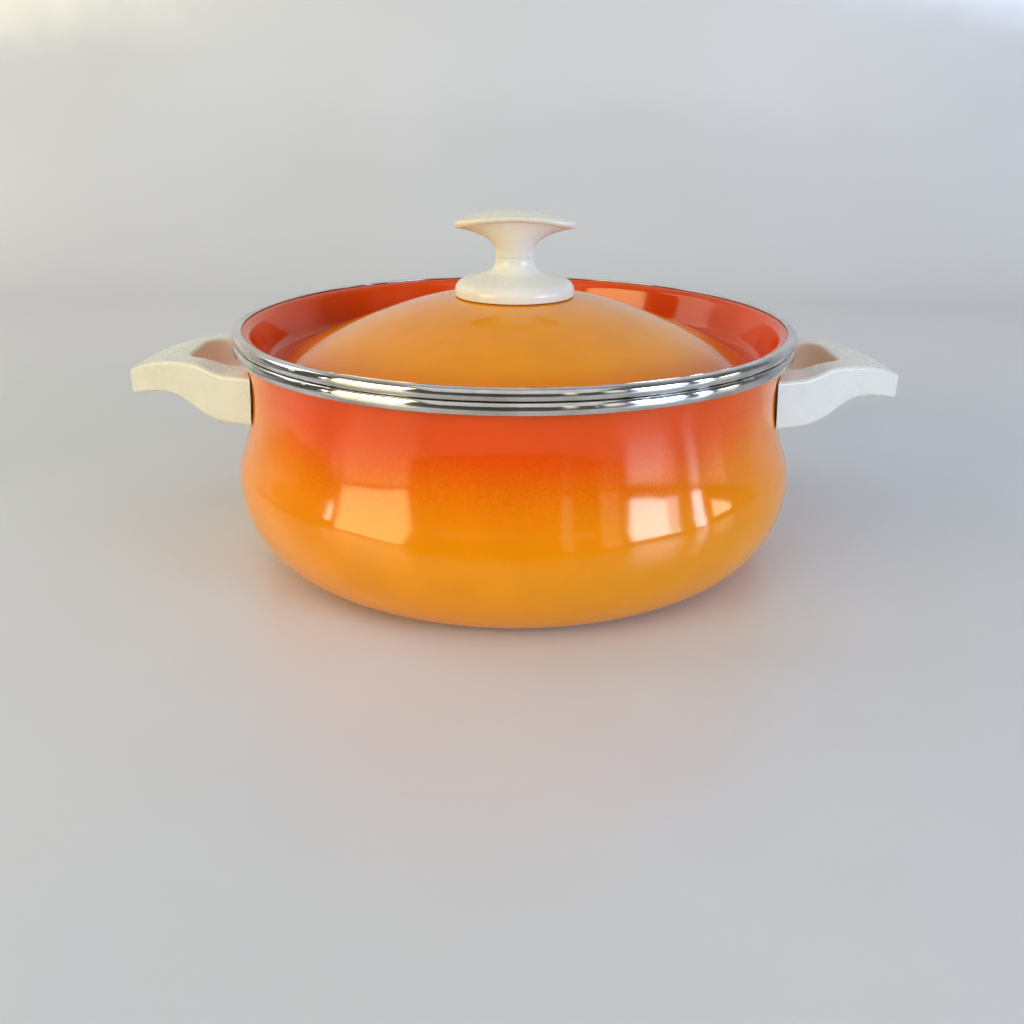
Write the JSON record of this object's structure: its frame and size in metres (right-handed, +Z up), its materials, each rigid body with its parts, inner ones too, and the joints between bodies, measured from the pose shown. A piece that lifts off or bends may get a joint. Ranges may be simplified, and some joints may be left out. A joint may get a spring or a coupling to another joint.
{
  "type": "lidded casserole pot",
  "caption": "Round enamelled steel casserole with a waisted pot, loop side handles, and a sunken lift-off lid with a winged knob.",
  "frame": {"origin": "middle of the pot's flat base, on the surface it stands on", "axes": "+Z up along the pot's axis, +X towards the right handle, -Y towards the front"},
  "size_m": [0.3566, 0.2588, 0.1543],
  "materials": {
    "enamel": "glossy orange vitreous enamel on steel",
    "stainless_trim": "polished stainless strip with fine wear",
    "cream_phenolic": "semi-gloss cream phenolic",
    "plated_steel": "dull zinc plating",
    "brass_insert": "turned brass",
    "gasket": "matt pressed fibre"
  },
  "bodies": {
    "pot": {"pot_shell": "enamel", "pot_rim_band": "stainless_trim", "left_handle": "cream_phenolic", "right_handle": "cream_phenolic", "left_handle_bracket": "enamel", "right_handle_bracket": "enamel", "left_handle_screws": "plated_steel", "right_handle_screws": "plated_steel", "left_handle_washers": "plated_steel", "right_handle_washers": "plated_steel", "left_handle_nuts": "plated_steel", "right_handle_nuts": "plated_steel"},
    "lid": {"lid_shell": "enamel", "lid_rim_band": "stainless_trim", "knob_base": "cream_phenolic", "knob_grip": "cream_phenolic", "knob_insert": "brass_insert", "knob_screw": "plated_steel", "knob_washer": "plated_steel", "knob_gasket": "gasket"}
  },
  "joints": [
    {"name": "lid_lift", "type": "slide", "parent": "pot", "child": "lid", "axis": [0, 0, 1], "range_m": [0, 0.15]}
  ]
}
